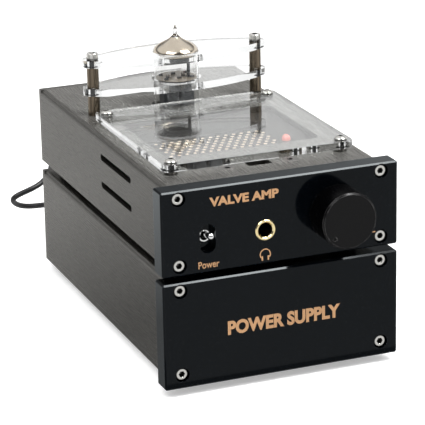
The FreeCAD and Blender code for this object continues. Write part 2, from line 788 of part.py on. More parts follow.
def crown(inset):
    """The bulb's rounded top, inset, closed to the axis above the neck."""
    points = inset_curve(BULB[:NECK], inset)
    peak = (0.0, points[-1][1] + 1.1)
    return points, peak


def glass_shape():
    """The hollow envelope, with its tip above and nine pin holes in its base."""
    radius = read("bulb_radius")
    thick = read("glass_thick")
    low = [(0.0, 0.0), (8.4, 0.0), (10.2, 0.8), (radius, 2.6), BULB[0]]
    inside, peak = crown(thick)
    floor = [inside[0], (radius - thick, 3.2), (8.6, 1.8), (0.0, 1.8)]
    outer = spin(chain(low) + [curve(BULB), line(BULB[-1], (0.0, 0.0))])
    inner = spin([curve(inside), line(inside[-1], peak), line(peak, (0.0, 1.8))]
                 + chain(list(reversed(floor))))
    holes = [Part.makeCylinder(read("pin_radius") + FIT, 4.0, FreeCAD.Vector(x, y, -1.0))
             for x, y in pin_places()]
    return outer.cut(inner).cut(Part.makeCompound(holes))


def mirror_shape():
    """The getter's thin metal film inside the top of the bulb."""
    outside, _ = crown(read("glass_thick") + 0.06)
    within, _ = crown(read("glass_thick") + 0.3)
    edges = [curve(outside), line(outside[-1], within[-1]), curve(within), line(within[0], outside[0])]
    return spin(edges)


def pin_places():
    """Nine pins on ten places of a circle."""
    circle = read("pin_circle")
    return [(circle * math.cos(math.radians(36 * i)), circle * math.sin(math.radians(36 * i)))
            for i in range(1, 10)]


def free_shape(label, shape, x, y, z):
    feature = doc.addObject("Part::Feature", label)
    feature.Shape = shape
    return sub_part(label, feature, x, y, z)


def valve():
    """A nine-pin double triode: glass, getter, micas, electrodes and pins."""
    axis = (s.valve_side, s.valve_back, s.bulb_low)
    free_shape("valve_glass", glass_shape(), *axis)
    free_shape("valve_getter_mirror", mirror_shape(), *axis)

    mica_top = 23.2
    mica_low = 4.2
    mica_thick = 0.3
    ring_high = 33.5
    getter = join([
        ring(0, 0, ring_high, 6.5, 0.4),
        tube(0, 0, ring_high - 1.9, 6.9, 6.1, 1.9),
        rod(4.9, -3.4, mica_top + mica_thick, 0.75, ring_high - mica_top - mica_thick),
    ])
    sub_part("valve_getter_ring", getter, *axis)

    apart = 3.85
    grid = 2.4
    cathodes = [(side * apart, 0) for side in SIDES]
    grids = [(side * apart, y) for side in SIDES for y in (-grid, grid)]
    discs = []
    for high in (mica_low, mica_top):
        tools = [rod(x, y, high - 1.0, 0.85, 2.0) for x, y in cathodes]
        tools += [rod(x, y, high - 1.0, 0.42, 2.0) for x, y in grids]
        tools += [block(x - 1.1, y - 0.5, high - 1.0, 2.2, 1.0, 2.0)
                  for x in (-6.4, 0, 6.4) for y in (-4.2, 4.2)]
        discs.append(cut(rod(0, 0, high, 9.7, mica_thick), tools))
    sub_part("valve_micas", group(discs), *axis)

    low = mica_low + mica_thick + 0.1
    tall = mica_top - low - 0.1
    anodes = []
    for side in SIDES:
        x = side * apart - 3.65
        shell = cut(round_block(x, -4.9, low, 7.3, 9.8, tall, 1.6),
                    [round_block(x + 0.4, -4.5, low - 1.0, 6.5, 9.0, tall + 2.0, 1.2)])
        anodes.append(shell)
    sub_part("valve_anodes", group(anodes), *axis)
    sub_part("valve_cathodes", group([tube(x, y, mica_low - 1.2, 0.8, 0.55, 21.6) for x, y in cathodes]), *axis)
    sub_part("valve_grid_rods", group([rod(x, y, mica_low - 1.0, 0.36, 21.2) for x, y in grids]), *axis)
    foot = -s.pin_length
    sub_part("valve_pins", group([
        join([rod(x, y, foot, s.pin_radius, s.pin_length + 2.6), ball(x, y, foot, s.pin_radius)])
        for x, y in pin_places()
    ]), *axis)

    high = s.bulb_low - 0.3 - s.amp_board_top
    base = rod(0, 0, 0, 11.0, high)
    tools = [rod(x, y, high - 9.0, s.pin_radius + 0.08, 9.0) for x, y in pin_places()]
    tools.append(rod(0, 0, high - 9.0, 2.0, 9.0))
    sub_part("valve_socket", cut(base, tools), s.valve_side, s.valve_back, s.amp_board_top)


# --- inside the amplifier ---

def standoff_places(front, back):
    return [(x * 36.0, y) for x in SIDES for y in (front, back)]


def board(label, low, front, back, places):
    """A circuit board, with a hole over each standoff."""
    wide = 2 * (half - s.wall - s.port_size)
    slab = block(-wide / 2, front, low, wide, back - size(front), s.board_thick)
    holes = [rod(x, y, low - 1.0, s.clearance_radius, s.board_thick + 2.0) for x, y in places]
    sub_part(label, cut(slab, holes))


def standoffs(base_top, board_low, places):
    """Hexagonal pillars, each with a stud up through the board."""
    return [join([hexagon(x, y, base_top, 5.0, board_low - base_top),
                  rod(x, y, board_low, s.shank_radius, s.board_thick + 2.0)]) for x, y in places]


def capacitor(x, y, z, radius, height):
    """A can capacitor with a rolled rim at its foot."""
    return join([rod(x, y, z, radius, 1.2), rod(x, y, z + 1.2, radius - 0.3, 0.8),
                 rod(x, y, z + 2.0, radius, size(height) - 2.0)])


def amp_inside():
    places = standoff_places(56.0, 158.0)
    board("amp_circuit_board", amp_board_low, 44.0, 168.0, places)
    top = s.amp_board_top
    cans = [capacitor(x, y, top, 5.0, 16.0) for x in (-30.0, -17.0) for y in (70.0, 84.0, 98.0)]
    sub_part("amp_capacitors", group(cans))
    fins = [block(22.0, 70.0, top, 18.0, 3.0, 20.0)]
    fins += [block(22.0 + 3.75 * i, 73.0, top, 1.4, 12.0, 20.0) for i in range(5)]
    sub_part("amp_heat_sink", join(fins))
    chips = [block(26.0, 66.1, top + 3.0, 10.0, 3.9, 15.0)]
    chips += [block(x, 108.0, top + 0.5, 9.6, 6.4, 3.4) for x in (-22.0, 14.0)]
    sub_part("amp_chips", group(chips))
    return standoffs(amp_base_top, amp_board_low, places)


# --- rear panels, their sockets and the lead ---

def phono_places():
    return [(s.phono_side, s.dc_amp_high), (s.phono_side + s.phono_step, s.dc_amp_high)]


def phono_sockets():
    """Two signal inputs: a plated barrel with a nut, a moulded centre and a body inside the case."""
    barrels = []
    cores = []
    for x, z in phono_places():
        sleeve = tube(x, panel_front - 9.0, z, s.phono_radius, 3.3, s.phono_length + 12.0, "back")
        nut = cut(hexagon(x, rear, z, 12.0, 2.4, "back"), [rod(x, rear, z, s.phono_radius, 2.4, "back")])
        barrels.append(join([sleeve, nut]))
        core = rod(x, panel_front - 9.0, z, 3.3 - FIT, s.phono_length + 11.4, "back")
        cores.append(cut(core, [rod(x, rear, z, 1.6, s.phono_length, "back")]))
    sub_part("phono_sockets", group(barrels))
    sub_part("phono_socket_cores", group(cores))


def dc_places():
    return [(s.socket_side, s.dc_amp_high), (s.socket_side, s.dc_psu_high)]


def dc_sockets():
    """The round supply sockets of the two cases, and the plugs of the lead that joins them."""
    barrel = 5.2
    sockets = []
    plugs = []
    for x, z in dc_places():
        sockets.append(join([
            rod(x, panel_front - 10.0, z, barrel, s.rear_thick + 14.0, "back"),
            rod(x, rear, z, 7.5, 1.6, "back"),
        ]))
        start = rear + 1.6 + FIT
        shell = join([
            rod(x, start, z, s.plug_radius, 12.0, "back"),
            cone(x, start + 12.0, z, s.plug_radius, 2.4, 3.0, "back"),
            rod(x, start + 15.0, z, 2.4, 6.0, "back"),
        ])
        plugs.append(cut(shell, [
            rod(x, start, z, barrel + FIT, 2.6, "back"),
            rod(x, start + 12.0, z, s.lead_radius + FIT, 10.0, "back"),
        ]))
    sub_part("dc_sockets", group(sockets))
    sub_part("lead_plugs", group(plugs))


LEAD_PATH = [
    (-28.0, 206.0, 74.0), (-27.3, 221.0, 68.5), (-26.0, 234.93, 48.0), (-30.0, 233.5, 34.0),
    (-41.0, 227.0, 27.5), (-52.3, 227.5, 22.6), (-47.0, 232.0, 17.0), (-36.0, 229.5, 16.5),
    (-29.5, 219.0, 21.5), (-28.0, 206.0, 26.0),
]
LEAD_IN_PLUG = 9.0      # the straight length held in each plug


def supply_lead():
    """The thin lead that loops behind the cases from one plug to the other, straight in each plug."""
    spline = Part.BSplineCurve()
    along = FreeCAD.Vector(0, 12, 0)
    points = [FreeCAD.Vector(*point) for point in LEAD_PATH]
    spline.interpolate(points, InitialTangent=along, FinalTangent=-along)
    held = FreeCAD.Vector(0, LEAD_IN_PLUG, 0)
    start = points[0] - held
    tails = [Part.makeLine(start, points[0]), Part.makeLine(points[-1], points[-1] - held)]
    path = Part.Wire([tails[0], spline.toShape(), tails[1]])
    ring_edge = Part.makeCircle(read("lead_radius"), start, FreeCAD.Vector(0, 1, 0))
    solid = path.makePipeShell([Part.Wire([ring_edge])], True, True)
    free_shape("supply_lead", solid, 0, 0, 0)


# --- the power supply's case and insides ---

def transformer():
    """A ring-wound mains transformer, clamped to the base by a dished washer and a bolt."""
    pad_high = psu_base_top + 1.0
    body = turned("mains_transformer", "XZ_Plane", [
        (s.core_hole, 0), (s.core_radius, 0), (s.core_radius, s.core_high), (s.core_hole, s.core_high),
    ])
    dress(body, "Fillet", 6.0, lambda edge: True)
    sub_part("mains_transformer", body, 0, s.core_back, pad_high)
    top = pad_high + s.core_high
    disc = join([rod(0, s.core_back, top, 22.0, 1.5), rod(0, s.core_back, psu_base_top, 3.0, s.core_high + 6.0),
                 hexagon(0, s.core_back, top + 1.5, 10.0, 3.5)])
    sub_part("transformer_clamp", disc)
    sub_part("transformer_pad", cut(rod(0, s.core_back, psu_base_top, 34.0, 1.0),
                                    [rod(0, s.core_back, psu_base_top, 3.0 + FIT, 1.0)]))


def psu_inside():
    places = standoff_places(116.0, 146.0)
    board("psu_circuit_board", psu_board_low, 108.0, 153.0, places)
    top = s.psu_board_top
    cans = [capacitor(x, 126.0, top, 9.0, 26.0) for x in (-22.0, 0.0, 22.0)]
    sub_part("psu_capacitors", group(cans))
    fins = [block(-20.0, 142.0, top, 40.0, 2.5, 22.0)]
    fins += [block(-20.0 + 5.3 * i, 144.5, top, 1.6, 5.5, 22.0) for i in range(8)]
    sub_part("psu_heat_sink", join(fins))
    return standoffs(psu_base_top, psu_board_low, places)


def mains_parts():
    """The mains inlet with its fuse drawer, and the rocker switch beside it."""
    x = s.inlet_side
    z = psu_floor + psu_high / 2
    flange = centred(x, rear, z, s.inlet_width, 2.0, s.inlet_high)
    body = centred(x, rear - 24.0, z, 27.0, 24.0, 30.0)
    recess = centred(x, rear - 17.0, z - 5.0, 24.0, 19.1, 16.0)
    slot = centred(x, rear - 15.0, z + 10.2, 22.0, 17.1, 6.0)
    blades = [centred(x + dx, rear - 20.0, z - 5.0 + dz, 4.0, 16.0, 2.0)
              for dx, dz in ((-7.0, -2.0), (0.0, 2.0), (7.0, -2.0))]
    sub_part("mains_inlet", cut(join([flange, body]), [recess, slot] + blades))
    sub_part("inlet_blades", group(blades))
    drawer = centred(x, rear - 14.9, z + 10.2, 21.8, 17.4, 5.8)
    lip = centred(x, rear + 2.5, z + 9.6, 16.0, 1.5, 6.4)
    sub_part("fuse_drawer", join([drawer, lip]))
    frame = join([centred(s.rocker_side, rear, z, 15.0, 1.6, 21.0),
                  centred(s.rocker_side, rear - 14.0, z, 12.8, 14.0, 19.0)])
    window_cut = centred(s.rocker_side, rear - 8.0, z, 11.0, 9.7, 16.4)
    pin = 0.8
    reach = 6.2
    bearing = rod(s.rocker_side - reach - FIT, rear, z, pin + 0.05, 2 * (reach + FIT), "right")
    sub_part("rocker_frame", cut(frame, [window_cut, bearing]))
    rocker = new_body("mains_rocker")
    points = [(-3.5, -4.0), (-3.5, 4.0), (0.2, 7.7), (3.0, 7.5), (1.5, 0.0), (0.8, -8.0), (-1.9, -7.45)]
    pad(rocker, outline(sketch_on(rocker, "YZ_Plane", -5.3), points), 10.6)
    sub_part("mains_rocker", join([rocker, rod(-reach, 0, 0, pin, 2 * reach, "right")]), s.rocker_side, rear, z)


def psu_faceplate():
    plate = faceplate("psu_faceplate", psu_floor, psu_roof, s.psu_plate_height, s.psu_screw_low)
    sub_part("psu_faceplate", plate)


# --- the whole ---

amp_case = (amp_floor, amp_roof, s.amp_screw_low)
psu_case = (psu_floor, psu_roof, s.psu_screw_low)
amp_faceplate()
amp_cover()
sub_part("amp_base_plate", base_plate("amp_base_plate", amp_floor, s.amp_base_thick))
amp_holes = [(x, z, s.phono_radius + FIT) for x, z in phono_places()]
amp_holes.append((s.socket_side, s.dc_amp_high, 5.2 + FIT))
sub_part("amp_rear_panel", rear_panel("amp_rear_panel", amp_floor, amp_roof, s.amp_screw_low, amp_holes))
vent_plate()
power_led()
window()
guard()
volume_control()
headphone_jack()
power_toggle()
valve()
phono_sockets()
dc_sockets()
supply_lead()

psu_faceplate()
sub_part("psu_cover", cover("psu_cover", psu_floor, psu_roof, s.psu_base_thick, s.psu_screw_low))
sub_part("psu_base_plate", base_plate("psu_base_plate", psu_floor, s.psu_base_thick))
middle = psu_floor + psu_high / 2
psu_openings = [(s.inlet_side, middle, 27.0, 30.0), (s.rocker_side, middle, 12.8, 19.0)]
sub_part("psu_rear_panel", rear_panel("psu_rear_panel", psu_floor, psu_roof, s.psu_screw_low,
                                      [(s.socket_side, s.dc_psu_high, 5.2 + FIT)], psu_openings))
transformer()
mains_parts()
sub_part("board_standoffs", group(amp_inside() + psu_inside()))
sub_part("faceplate_screws", group(faceplate_screws(*amp_case) + faceplate_screws(*psu_case)))
sub_part("case_screws", group(case_screws(*amp_case) + case_screws(*psu_case)))
sub_part("feet", group(feet(amp_floor) + feet(psu_floor)))

doc.recompute()
broken = [thing.Label for thing in doc.Objects if {"Invalid", "Error"} & set(thing.State)]
if broken:
    raise ValueError(f"objects that failed: {broken}")
for thing in SUB_PARTS:
    if thing.Shape.isNull() or not thing.Shape.isValid() or not thing.Shape.Solids:
        raise ValueError(f"{thing.Label} has no valid shape")

os.makedirs("parts", exist_ok=True)
for thing in SUB_PARTS:
    thing.Shape.exportStep(f"parts/{thing.Label}.step")
whole = FreeCAD.BoundBox()
for thing in SUB_PARTS:
    whole.add(thing.Shape.BoundBox)
print(f"{len(SUB_PARTS)} sub-parts, {whole}")
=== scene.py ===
import json
import math

import bmesh
import bpy
from mathutils import Matrix, Vector


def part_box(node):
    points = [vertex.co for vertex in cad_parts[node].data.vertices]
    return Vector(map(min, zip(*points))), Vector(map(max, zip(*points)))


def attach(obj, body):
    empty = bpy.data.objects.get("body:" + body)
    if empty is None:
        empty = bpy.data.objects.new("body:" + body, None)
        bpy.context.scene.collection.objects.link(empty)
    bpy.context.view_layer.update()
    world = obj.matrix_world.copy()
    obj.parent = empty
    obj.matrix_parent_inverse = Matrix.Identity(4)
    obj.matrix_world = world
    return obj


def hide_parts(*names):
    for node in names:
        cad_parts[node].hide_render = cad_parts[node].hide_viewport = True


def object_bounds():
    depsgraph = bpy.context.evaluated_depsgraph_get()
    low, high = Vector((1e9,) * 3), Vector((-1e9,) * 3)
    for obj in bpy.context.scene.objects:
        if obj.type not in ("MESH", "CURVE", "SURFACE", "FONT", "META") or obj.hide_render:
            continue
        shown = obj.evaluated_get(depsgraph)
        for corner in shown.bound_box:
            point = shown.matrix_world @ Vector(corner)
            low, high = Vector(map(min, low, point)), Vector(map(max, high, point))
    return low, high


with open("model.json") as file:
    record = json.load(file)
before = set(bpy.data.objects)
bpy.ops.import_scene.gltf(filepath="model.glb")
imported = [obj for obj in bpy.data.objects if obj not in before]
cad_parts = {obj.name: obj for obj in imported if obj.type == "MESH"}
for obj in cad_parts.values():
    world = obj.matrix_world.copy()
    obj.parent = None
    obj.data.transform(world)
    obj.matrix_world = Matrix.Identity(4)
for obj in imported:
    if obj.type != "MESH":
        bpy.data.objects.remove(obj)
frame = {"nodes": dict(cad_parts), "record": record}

# Finishes, printed markings and fine detail of a valve headphone amplifier on its power supply.
# Lengths are in metres in the CAD's frame, and MM turns millimetres into them.
MM = 0.001
CAD_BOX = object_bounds()
UP = Vector((0.0, 0.0, 1.0))


# --- shader nodes ---

def add(tree, kind, inputs=None, **settings):
    """A shader node: inputs maps an input's name or number to a value or to another node's output."""
    item = tree.nodes.new("ShaderNode" + kind)
    for name, value in settings.items():
        setattr(item, name, value)
    for key, value in (inputs or {}).items():
        socket = item.inputs[key]
        if isinstance(value, bpy.types.NodeSocket):
            tree.links.new(value, socket)
        else:
            socket.default_value = value
    return item


def maths(tree, operation, left, right=0.0):
    """One step of arithmetic on single numbers; operations on one number leave right out."""
    return add(tree, "Math", {0: left, 1: right}, operation=operation).outputs[0]


def blend_colours(tree, factor, low, high, kind="MIX"):
    """From the colour low, where the factor is 0, to the colour high, where it is 1."""
    node = add(tree, "Mix", {0: factor, 6: low, 7: high}, data_type="RGBA", blend_type=kind)
    return node.outputs[2]


def blend_shaders(tree, factor, low, high):
    """From the shader low, where the factor is 0, to the shader high, where it is 1."""
    return add(tree, "MixShader", {0: factor, 1: low, 2: high}).outputs[0]


def ramp(tree, value, low, high, to_low=0.0, to_high=1.0):
    """Straight from to_low, where the value is low, to to_high, where it is high, and level beyond them."""
    inputs = {"Value": value, "From Min": low, "From Max": high, "To Min": to_low, "To Max": to_high}
    return add(tree, "MapRange", inputs).outputs[0]


def shade(colour, factor=1.0):
    """A colour of three parts made lighter or darker, with the fourth part that nodes want."""
    return tuple(min(1.0, part * factor) for part in colour) + (1.0,)


def place(tree, cell):
    """Object coordinates measured in cells: cell gives the size in mm of one grain along X, Y and Z."""
    where = add(tree, "TexCoord").outputs["Object"]
    scale = tuple(1.0 / (size * MM) for size in cell)
    return add(tree, "Mapping", {"Vector": where, "Scale": scale}).outputs[0]


def noise(tree, cell, detail):
    """Cloudy noise, about 0 to 1, in cells of a size in mm; detail adds finer layers to it."""
    inputs = {"Vector": place(tree, cell), "Scale": 1.0, "Detail": detail, "Roughness": 0.55}
    return add(tree, "TexNoise", inputs).outputs[0]


def edge_mask(tree, radius):
    """The rounded normal within a radius (mm) of an edge, and a mask: 1 on the edge, 0 on the flats."""
    rounded = add(tree, "Bevel", {"Radius": radius * MM}, samples=6).outputs[0]
    flat = add(tree, "NewGeometry").outputs["Normal"]
    together = add(tree, "VectorMath", {0: rounded, 1: flat}, operation="DOT_PRODUCT").outputs["Value"]
    return rounded, ramp(tree, together, 0.998, 0.86)


def recess_mask(tree, reach):
    """Painted shade for hollows: 1 in the open and 0 deep in a hollow of a size (mm) in reach, such as a
    screw's socket.
    """
    open_share = add(tree, "AmbientOcclusion", {"Distance": reach * MM}, samples=8, inside=False)
    return ramp(tree, open_share.outputs["AO"], 0.45, 0.88)


def new_material(name):
    """An empty material and its node tree."""
    material = bpy.data.materials.new(name)
    material.use_nodes = True
    material.node_tree.nodes.clear()
    return material, material.node_tree


def finish_with(tree, shader):
    """Make a shader the tree's surface."""
    add(tree, "OutputMaterial", {"Surface": shader})


# --- finishes ---

TO_THE_FRONT = (0.0, -1.0, 0.0)
DUST = (0.55, 0.54, 0.52, 1.0)
# The colour of the painted shade deep in hollows.
PAINTED_RECESS_SHADE = (0.004, 0.004, 0.004, 1.0)


class Ground:
    """What every opaque finish starts from: mottled colour and roughness, soft edges, worn edges (on the
    knobs also a painted highlight), dust, painted shade in hollows.

    Sizes are in mm: grain is one grain's size along X, Y and Z, bump its height, blotch_size that of the
    broad patches, round_edge the radius that edges seem to have, and the recess setting how far the painted
    shade in a hollow reaches.
    """

    def __init__(self, tree, colour, rough, grain=(0.5, 0.5, 0.5), streak=0.12, blotch=0.06,
                 blotch_size=18.0, rough_change=0.08, bump=0.004, round_edge=0.25, wear=0.0,
                 wear_colour=(0.5, 0.5, 0.5), dust=0.0, recess=0.0):
        fine = noise(tree, grain, 4.0)
        broad = noise(tree, (blotch_size,) * 3, 2.0)
        mixed = blend_colours(tree, fine, shade(colour, 1.0 - streak), shade(colour, 1.0 + streak))
        toned = blend_colours(tree, broad, shade((1.0 - blotch,) * 3), shade((1.0,) * 3))
        base = blend_colours(tree, 1.0, mixed, toned, "MULTIPLY")
        self.fine = fine
        smoothest, roughest = max(0.02, rough - rough_change), min(1.0, rough + rough_change)
        self.rough = ramp(tree, fine, 0.2, 0.8, smoothest, roughest)
        rounded, edge = edge_mask(tree, round_edge)
        # Lighter, patchy edges: worn metal, and on the knobs also a painted highlight along the rim.
        if wear:
            patchy = ramp(tree, noise(tree, (2.5, 2.5, 2.5), 3.0), 0.35, 0.6)
            amount = maths(tree, "MULTIPLY", maths(tree, "MULTIPLY", edge, patchy), wear)
            base = blend_colours(tree, amount, base, shade(wear_colour))
        if dust:
            specks = ramp(tree, noise(tree, (0.35, 0.35, 0.35), 2.0), 0.66, 0.74, 0.0, dust)
            base = blend_colours(tree, specks, base, DUST)
        # Painted shade: deep in hollows such as screw sockets the colour goes to near black.
        if recess:
            base = blend_colours(tree, recess_mask(tree, recess), PAINTED_RECESS_SHADE, base)
        self.colour = base
        self.normal = add(tree, "Bump", {
            "Height": fine, "Distance": bump * MM, "Strength": 0.6, "Normal": rounded}).outputs[0]


def solid_finish(name, colour, rough, metallic=0.0, specular=0.5, coat=0.0, **ground_settings):
    """An opaque surface such as metal, moulded plastic or ceramic."""
    material, tree = new_material(name)
    ground = Ground(tree, colour, rough, **ground_settings)
    finish_with(tree, add(tree, "BsdfPrincipled", {
        "Base Color": ground.colour, "Roughness": ground.rough, "Metallic": metallic,
        "Specular IOR Level": specular, "Coat Weight": coat, "Coat Roughness": 0.08,
        "Normal": ground.normal}).outputs[0])
    return material


def sheen_finish(name, colour, rough, sheen, rise=1.0, tint=(1.0, 1.0, 1.0), brushed=None, spread=0.0,
                 streak_sheen=0.0, face_sheen=0.0, **ground_settings):
    """Dark anodised metal: a matt ground under a sheen that grows towards grazing angles.

    The sheen is its share seen square on, rise scales how much it grows, streak_sheen varies it with the
    grain, and face_sheen adds to it on surfaces that look to the front. Brushed is the brushing's
    direction, and spread is how far it draws highlights out across itself.
    """
    material, tree = new_material(name)
    ground = Ground(tree, colour, rough, **ground_settings)
    flat = add(tree, "NewGeometry").outputs["Normal"]
    facing = add(tree, "LayerWeight", {"Blend": 0.5, "Normal": ground.normal}).outputs["Facing"]
    grazing = maths(tree, "POWER", facing, 5.0)
    share = maths(tree, "ADD", maths(tree, "MULTIPLY", grazing, (1.0 - sheen) * rise), sheen)
    if face_sheen:
        forward = add(tree, "VectorMath", {0: flat, 1: TO_THE_FRONT}, operation="DOT_PRODUCT")
        added = ramp(tree, forward.outputs["Value"], 0.3, 0.7, 0.0, face_sheen)
        share = maths(tree, "ADD", share, added)
    varied = ramp(tree, ground.fine, 0.25, 0.75, 1.0 - streak_sheen, 1.0 + streak_sheen)
    share = maths(tree, "MULTIPLY", share, varied)
    matt = add(tree, "BsdfDiffuse", {"Color": ground.colour, "Normal": ground.normal}).outputs[0]
    inputs = {"Color": shade(tint), "Roughness": ground.rough, "Normal": ground.normal}
    if brushed:
        across = add(tree, "VectorMath", {0: flat, 1: brushed}, operation="CROSS_PRODUCT").outputs[0]
        inputs["Anisotropy"] = spread
        inputs["Tangent"] = across
    glossy = add(tree, "BsdfAnisotropic", inputs).outputs[0]
    finish_with(tree, blend_shaders(tree, share, matt, glossy))
    return material


def clear_finish(name, tint, ior, rough, haze):
    """A clear, polished solid: faint scratches and haze, and it lets light through to what is behind it.

    A finish whose rough is 0 and whose haze is tiny counts as sharp, and the sky shows it a paler room.
    """
    material, tree = new_material(name)
    scratches = noise(tree, (0.15, 4.0, 0.15), 2.0)
    cloudy = ramp(tree, noise(tree, (9.0, 9.0, 9.0), 4.0), 0.45, 0.75, rough, rough + haze)
    normal = add(tree, "Bump", {"Height": scratches, "Distance": 0.0006 * MM, "Strength": 0.4}).outputs[0]
    body = add(tree, "BsdfPrincipled", {
        "Base Color": shade(tint), "Roughness": cloudy, "IOR": ior, "Transmission Weight": 1.0,
        "Normal": normal}).outputs[0]
    ghost = add(tree, "BsdfTransparent", {"Color": shade(tint, 0.97)}).outputs[0]
    path = add(tree, "LightPath")
    passing = maths(tree, "MAXIMUM", path.outputs["Is Shadow Ray"], path.outputs["Is Diffuse Ray"])
    finish_with(tree, blend_shaders(tree, passing, body, ghost))
    return material


def film_finish(name):
    """The getter's mirror: smoky bronze outside, near black inside, brown and ragged at its lower edge."""
    material, tree = new_material(name)
    brown, inner_side = (0.035, 0.022, 0.014, 1.0), (0.022, 0.014, 0.010, 1.0)
    lower_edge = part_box("valve_getter_mirror")[0].z
    height = add(tree, "SeparateXYZ", {0: add(tree, "TexCoord").outputs["Object"]}).outputs[2]
    cloudy = noise(tree, (3.0, 3.0, 3.0), 4.0)
    bronze = blend_colours(tree, cloudy, (0.50, 0.43, 0.34, 1.0), (0.66, 0.59, 0.49, 1.0))
    clear_of_edge = ramp(tree, height, lower_edge - 0.3 * MM, lower_edge + 1.0 * MM)
    outer_side = blend_colours(tree, clear_of_edge, brown, bronze)
    tilt = add(tree, "SeparateXYZ", {0: add(tree, "NewGeometry").outputs["Normal"]}).outputs[2]
    colour = blend_colours(tree, ramp(tree, tilt, -0.05, 0.05), inner_side, outer_side)
    rough = ramp(tree, cloudy, 0.3, 0.7, 0.06, 0.12)
    mirror = add(tree, "BsdfAnisotropic", {"Color": colour, "Roughness": rough}).outputs[0]
    rising = ramp(tree, height, lower_edge - 0.4 * MM, lower_edge + 0.5 * MM)
    ragged = maths(tree, "ADD", rising, maths(tree, "MULTIPLY", cloudy, 0.4))
    bare = add(tree, "BsdfTransparent").outputs[0]
    finish_with(tree, blend_shaders(tree, ramp(tree, ragged, 0.2, 0.5), bare, mirror))
    return material


def lamp_finish(name):
    """A tinted lens with a soft glow, paler towards its middle."""
    material, tree = new_material(name)
    facing = add(tree, "LayerWeight", {"Blend": 0.35}).outputs["Facing"]
    cloudy = noise(tree, (0.8, 0.8, 0.8), 2.0)
    glow = blend_colours(tree, facing, (0.85, 0.30, 0.25, 1.0), (0.55, 0.10, 0.08, 1.0))
    finish_with(tree, add(tree, "BsdfPrincipled", {
        "Base Color": (0.75, 0.20, 0.16, 1.0), "Roughness": ramp(tree, cloudy, 0.2, 0.8, 0.2, 0.35),
        "Emission Color": glow, "Emission Strength": ramp(tree, cloudy, 0.2, 0.8, 0.22, 0.32)}).outputs[0])
    return material


def board_finish(name):
    """Green solder resist over copper tracks."""
    material, tree = new_material(name)
    cells = add(tree, "TexVoronoi", {"Vector": place(tree, (6.0, 6.0, 6.0)), "Scale": 1.0},
                feature="DISTANCE_TO_EDGE").outputs["Distance"]
    tracks = ramp(tree, cells, 0.05, 0.09)
    grain = noise(tree, (0.3, 0.3, 0.3), 2.0)
    green = blend_colours(tree, grain, (0.012, 0.10, 0.035, 1.0), (0.02, 0.15, 0.055, 1.0))
    colour = blend_colours(tree, tracks, (0.05, 0.24, 0.10, 1.0), green)
    bump = add(tree, "Bump", {"Height": tracks, "Distance": 0.03 * MM, "Strength": 0.5}).outputs[0]
    rough = ramp(tree, grain, 0.2, 0.8, 0.25, 0.4)
    finish_with(tree, add(tree, "BsdfPrincipled", {
        "Base Color": colour, "Roughness": rough, "Normal": bump}).outputs[0])
    return material


WIRE_TURNS = 220.0


def winding_finish(name):
    """Enamelled wire laid round the ring, under lacquer, with painted shade in the grooves between the
    turns.
    """
    material, tree = new_material(name)
    low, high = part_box("mains_transformer")
    middle = (low + high) / 2
    where = add(tree, "TexCoord").outputs["Object"]
    local = add(tree, "VectorMath", {0: where, 1: middle}, operation="SUBTRACT").outputs[0]
    parts = add(tree, "SeparateXYZ", {0: local}).outputs
    angle = maths(tree, "ARCTAN2", parts[1], parts[0])
    wave = maths(tree, "SINE", maths(tree, "MULTIPLY", angle, WIRE_TURNS))
    grain = noise(tree, (5.0, 5.0, 5.0), 3.0)
    copper = blend_colours(tree, grain, (0.36, 0.13, 0.035, 1.0), (0.55, 0.24, 0.08, 1.0))
    # The copper goes dark between the turns: painted shade in the grooves, in step with the bump.
    colour = blend_colours(tree, ramp(tree, wave, -1.0, 1.0), (0.16, 0.06, 0.02, 1.0), copper)
    bump = add(tree, "Bump", {"Height": wave, "Distance": 0.2 * MM, "Strength": 0.7}).outputs[0]
    finish_with(tree, add(tree, "BsdfPrincipled", {
        "Base Color": colour, "Metallic": 0.5, "Roughness": 0.35, "Coat Weight": 0.5,
        "Normal": bump}).outputs[0])
    return material


